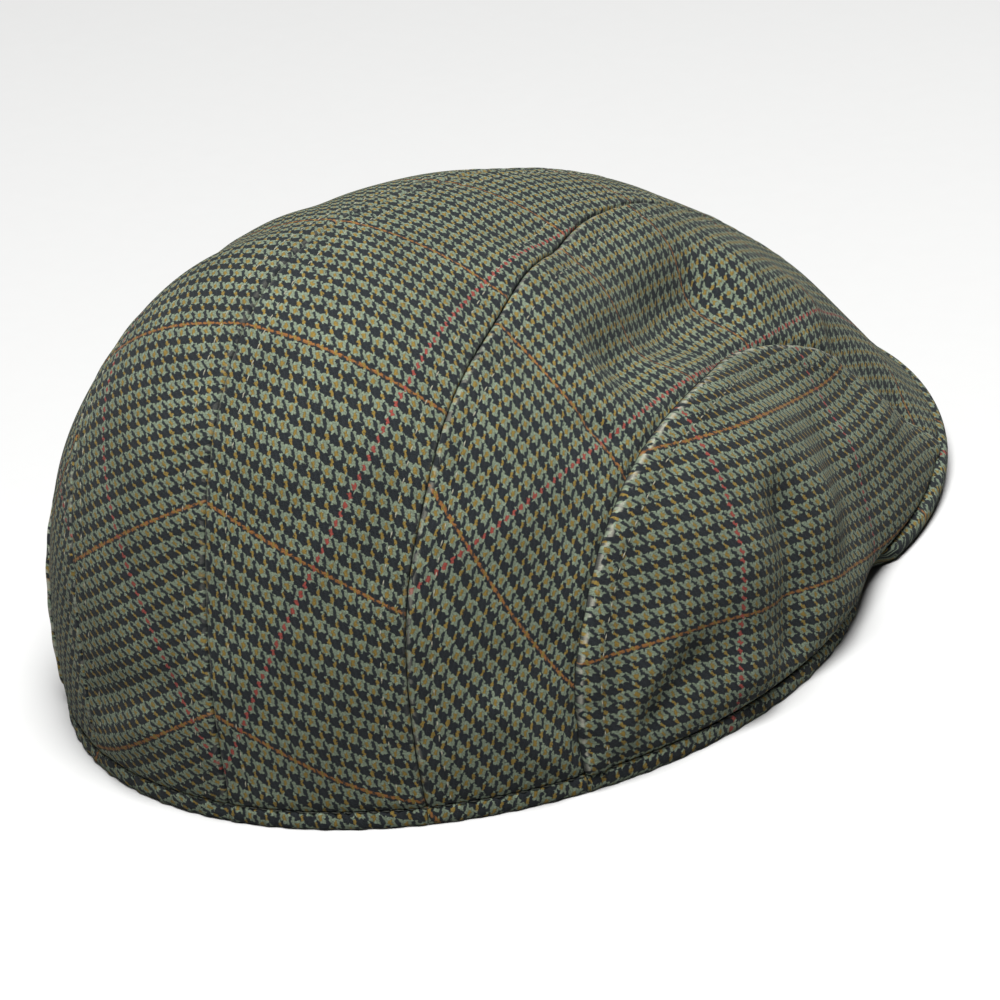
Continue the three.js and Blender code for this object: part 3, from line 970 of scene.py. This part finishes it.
def build_hem():
    """The turned edge round the head opening. Its cloth runs on from the panels above it."""
    parts = []
    for panel in PANELS.values():
        angle, place, down = rim_of(panel)
        order = np.argsort(np.abs(angle))
        far, place, down = np.abs(angle)[order], place[order], down[order]
        end = min(far[-1], HEM_TURNS_UNDER)
        angles = np.linspace(far[0] + HEM_GAP, end - HEM_GAP, int((end - far[0]) * 160))
        place_at, down_at = values_at(angles, far, place), values_at(angles, far, down)
        parts.append(hem_segment(angles * panel["side"], place_at, down_at))
    front = np.linspace(HEM_TURNS_UNDER + HEM_GAP, 2 * math.pi - HEM_TURNS_UNDER - HEM_GAP, 160)
    place_at = np.stack([front * HEM_UNDER_LENGTH, front * 0], -1)
    parts.append(hem_segment(front, place_at, np.broadcast_to([0.0, 1.0], place_at.shape)))
    points, faces, places = joined(parts)
    piece = new_mesh("hem", points, faces, {CLOTH_MAP: places})
    fix_facing(piece)
    finished_piece(piece, shared_material("cloth", cloth_material), "hem_cloth", "hem_band")


def fix_facing(piece):
    """Turns all faces of a closed piece outward."""
    shape = bmesh.new()
    shape.from_mesh(piece.data)
    bmesh.ops.recalc_face_normals(shape, faces=shape.faces)
    shape.to_mesh(piece.data)
    shape.free()


def build_peak():
    """The stiff peak, covered with the same cloth over its rounded edge."""
    share = np.linspace(-1, 1, 221)
    root_turn, edge_turn = (np.radians(PEAK_SWEEP[end]) * share for end in ("root", "edge"))
    root_width, root_length = HEM["half_width"] + PEAK["clear"], HEM["half_length"] + PEAK["clear"]
    root = np.stack([root_width * np.sin(root_turn), -root_length * np.cos(root_turn)], -1)
    edge_y = PEAK["centre_y"] - PEAK["reach"] * np.cos(edge_turn)
    edge = np.stack([PEAK["half_width"] * np.sin(edge_turn), edge_y], -1)
    run = edge - root
    length = np.linalg.norm(run, axis=-1, keepdims=True)
    outward = run / length
    # Each row is a line across the peak: where it lies, how far under the top it is, and its place along the
    # cloth, which passes over the top, round the edge and back underneath.
    half = PEAK["thickness"] / 2
    flat_part = np.linspace(0, 1, 26)
    flat_length = length - half
    rows = [(root + run * (1 - half / length) * part, 0.0, part * flat_length) for part in flat_part]
    for turn in np.radians(np.linspace(90, -90, 11))[1:-1]:
        drop = half * math.sin(turn) - half
        beyond = flat_length + half * (math.pi / 2 - turn)
        rows.append((edge - outward * (half - half * math.cos(turn)), drop, beyond))
    for part in flat_part[::-1]:
        beyond = flat_length + half * math.pi + (1 - part) * flat_length
        rows.append((root + run * (1 - half / length) * part, -2 * half, beyond))
    points, places = [], []
    for place, drop, along in rows:
        height = ledge_top(place[:, 0], place[:, 1]) + drop
        points.append(np.concatenate([place, height[:, None]], -1))
        places.append(root + outward * along)
    points, places = np.stack(points, 1), np.stack(places, 1)
    maps = {CLOTH_MAP: places.reshape(-1, 2) * (-1, 1)}
    piece = new_mesh("peak_cover", points.reshape(-1, 3), tube_faces(*points.shape[:2]), maps)
    fix_facing(piece)
    finished_piece(piece, shared_material("cloth", cloth_material), "peak_cloth", "peak")


def row_beside(panel, seam, offset):
    """The line on a panel that runs at a distance from one of its seams, and the way the cloth faces it."""
    away = panel["distances"][seam]
    nearest_last = seam == "side" or (panel["kind"] == "back_panel" and seam == "back")
    flip = slice(None, None, -1) if nearest_last else slice(None)
    away = away[:, flip]
    outer, outward = panel["outer"][:, flip], panel["outward"][:, flip]
    passed = away >= offset
    column = passed.argmax(1)
    rows = np.flatnonzero(passed.any(1) & (column > 0))
    column = column[rows]
    low, high = away[rows, column - 1], away[rows, column]
    share = ((offset - low) / (high - low))[:, None]
    return outer[rows, column - 1] * (1 - share) + outer[rows, column] * share, outward[rows, column]


def stitches_along(line, facing, pitch, thread, chance):
    """Short rounded stitches along a line: their points and faces."""
    length = lengths_along(line)
    count = int(length[-1] / pitch)
    middle = (np.arange(count) + 0.5) * pitch + chance.normal(0, STITCH_CHANCE["place"] * pitch, count)
    half = pitch * (STITCH["half_length"] + chance.normal(0, STITCH_CHANCE["length"], count))
    start, centre, end = (values_at(place, length, line) for place in (middle - half, middle, middle + half))
    normal = values_at(middle, length, facing)
    normal /= np.linalg.norm(normal, axis=-1, keepdims=True)
    sideways = np.cross(normal, end - start)
    sideways /= np.linalg.norm(sideways, axis=-1, keepdims=True)
    start = start + sideways * (chance.normal(0, STITCH_CHANCE["lean"], (count, 1)) + STITCH_LEAN)
    end = end - sideways * STITCH_LEAN
    points = []
    for ring in np.linspace(-1, 1, STITCH["rings"]):
        share = (ring + 1) / 2
        bow = 4 * share * (1 - share)
        place = (start * (1 - share) + end * share) * (1 - bow) + centre * bow
        radius = thread / 2 * math.sqrt(max(1 - ring**4, 0.02))
        lift = thread * (STITCH["arch"] * bow - STITCH["sunk"])
        for turn in np.linspace(0, 2 * math.pi, STITCH["sides"] + 1)[:-1]:
            up, aside = lift + radius * math.sin(turn), radius * math.cos(turn)
            points.append(place + normal * up + sideways * aside)
    points = np.stack(points, 1)
    grid = np.arange(points.shape[1]).reshape(STITCH["rings"], STITCH["sides"])
    after = np.roll(grid, -1, 1)
    single = np.stack([grid[:-1], after[:-1], after[1:], grid[1:]], -1).reshape(-1, 4)
    faces = (single[None] + (np.arange(count) * points.shape[1])[:, None, None]).reshape(-1, 4)
    return points.reshape(-1, 3), faces.tolist(), np.zeros((points.size // 3, 2))


def build_top_stitches():
    """The rows of pale stitches beside the seams, one piece for each panel."""
    sewing = bpy.context.scene.cap_sewing
    chance = np.random.default_rng(SEED + 1)
    for name, panel in PANELS.items():
        parts = []
        for seam in panel["distances"]:
            if seam == "side" and panel["kind"] == "top_panel":
                continue
            line, facing = row_beside(panel, seam, sewing.row_offset / MM)
            parts.append(stitches_along(line, facing, sewing.stitch / MM, sewing.thread / MM, chance))
        points, faces, _ = joined(parts)
        piece = new_mesh("stitches_" + name, points, faces)
        thread = shared_material("thread", plain_material, "thread", sewing.thread_colour)
        finished_piece(piece, thread, "check_cloth")


def build_hem_stitches():
    """The row of dark stitches that holds the turned hem."""
    sewing = bpy.context.scene.cap_sewing
    edge, outward = hem_edge(np.linspace(-HEM_TURNS_UNDER, HEM_TURNS_UNDER, 1200))
    height = ledge_top(edge[:, 0], edge[:, 1]) + HEM_STITCHES["above"]
    line = np.column_stack([edge - outward * HEM_STITCHES["inside"], height])
    facing = np.column_stack([outward, np.zeros(len(outward))])
    chance = np.random.default_rng(SEED + 2)
    points, faces, _ = stitches_along(line, facing, HEM_STITCHES["pitch"], sewing.thread / MM, chance)
    piece = new_mesh("stitches_hem", points, faces)
    thread = shared_material("dark_thread", plain_material, "dark_thread", sewing.hem_colour)
    finished_piece(piece, thread, "hem_cloth")


# ---------------------------------------------------------------- operators

class CapOperator:
    """What all steps share."""

    bl_options = {"REGISTER", "UNDO"}


class OBJECT_OT_cap_panels(CapOperator, bpy.types.Operator):
    """Makes the six panels of the crown"""

    bl_idname = "object.cap_panels"
    bl_label = "Crown panels"

    def execute(self, context):
        seams = seam_lines()
        for kind in ("back_panel", "top_panel", "side_panel"):
            disc, names = panel_grid(kind, seams)
            flat = flattened(crown_at(disc))
            for side_name in SIDES:
                build_panel(kind, side_name, disc, flat, seams, names)
        return {"FINISHED"}


class OBJECT_OT_cap_edges(CapOperator, bpy.types.Operator):
    """Makes the turned hem and the peak"""

    bl_idname = "object.cap_edges"
    bl_label = "Hem and peak"

    def execute(self, context):
        build_hem()
        build_peak()
        return {"FINISHED"}


class OBJECT_OT_cap_stitches(CapOperator, bpy.types.Operator):
    """Makes the rows of stitches"""

    bl_idname = "object.cap_stitches"
    bl_label = "Stitches"

    def execute(self, context):
        build_top_stitches()
        build_hem_stitches()
        return {"FINISHED"}


class OBJECT_OT_cap_stage(CapOperator, bpy.types.Operator):
    """Makes the floor, the lights and the camera"""

    bl_idname = "object.cap_stage"
    bl_label = "Stage"

    def execute(self, context):
        stage = context.scene.cap_stage
        bpy.ops.mesh.primitive_plane_add(size=stage.floor_size)
        floor = context.object
        floor.name = "floor"
        floor.data.materials.append(plain_material("floor", stage.floor_colour, 0.6, 0.01))
        back = Vector((
            math.sin(stage.turn) * math.cos(stage.height),
            -math.cos(stage.turn) * math.cos(stage.height),
            math.sin(stage.height),
        ))
        aim = Vector(to_frame(np.array(CAMERA_AIM)))
        camera = bpy.data.objects.new("camera", bpy.data.cameras.new("camera"))
        context.scene.collection.objects.link(camera)
        camera.location = aim + back * stage.distance
        look = (-back).to_track_quat("-Z", "Y") @ Quaternion((0, 0, 1), stage.roll)
        camera.rotation_mode = "QUATERNION"
        camera.data.lens = stage.lens
        camera.data.clip_end = 20
        look = look @ Quaternion((1, 0, 0), -stage.tilt) @ Quaternion((0, 1, 0), -stage.pan)
        camera.rotation_quaternion = look
        context.scene.camera = camera
        self.lights(context)
        return {"FINISHED"}

    def lights(self, context):
        """Adds the even light of the sky and the soft lamps."""
        world = bpy.data.worlds.new("studio")
        world.use_nodes = True
        background = world.node_tree.nodes["Background"]
        background.inputs["Color"].default_value = (1, 1, 1, 1)
        background.inputs["Strength"].default_value = context.scene.cap_stage.sky
        context.scene.world = world
        context.scene.view_settings.view_transform = "Standard"
        for row in LIGHTS:
            light = bpy.data.lights.new(row["name"], "AREA")
            light.shape = "DISK"
            light.size = row["size"]
            light.energy = row["power"]
            lamp = bpy.data.objects.new(row["name"], light)
            context.scene.collection.objects.link(lamp)
            lamp.location = row["place"]
            lamp.rotation_mode = "QUATERNION"
            lamp.rotation_quaternion = (Vector(LIGHTS_AIM) - lamp.location).to_track_quat("-Z", "Y")


class VIEW3D_PT_cap(bpy.types.Panel):
    """Lists the steps that build the cap"""

    bl_idname = "VIEW3D_PT_cap"
    bl_label = "Flat cap"
    bl_space_type = "VIEW_3D"
    bl_region_type = "UI"
    bl_category = "Flat cap"

    def draw(self, context):
        for step in STEPS:
            self.layout.operator(step.bl_idname)


STEPS = (OBJECT_OT_cap_stage, OBJECT_OT_cap_panels, OBJECT_OT_cap_edges, OBJECT_OT_cap_stitches)
SETTINGS = {"cap_cloth": CapClothSettings, "cap_sewing": CapSewingSettings, "cap_stage": CapStageSettings}


def register():
    for group in SETTINGS.values():
        bpy.utils.register_class(group)
    for name, group in SETTINGS.items():
        setattr(bpy.types.Scene, name, PointerProperty(type=group))
    for kind in (*STEPS, VIEW3D_PT_cap):
        bpy.utils.register_class(kind)


def unregister():
    for kind in (VIEW3D_PT_cap, *reversed(STEPS)):
        bpy.utils.unregister_class(kind)
    for name, group in SETTINGS.items():
        delattr(bpy.types.Scene, name)
        bpy.utils.unregister_class(group)


def main():
    register()
    bpy.ops.object.cap_stage()
    bpy.ops.object.cap_panels()
    bpy.ops.object.cap_edges()
    bpy.ops.object.cap_stitches()


if __name__ == "__main__":
    main()
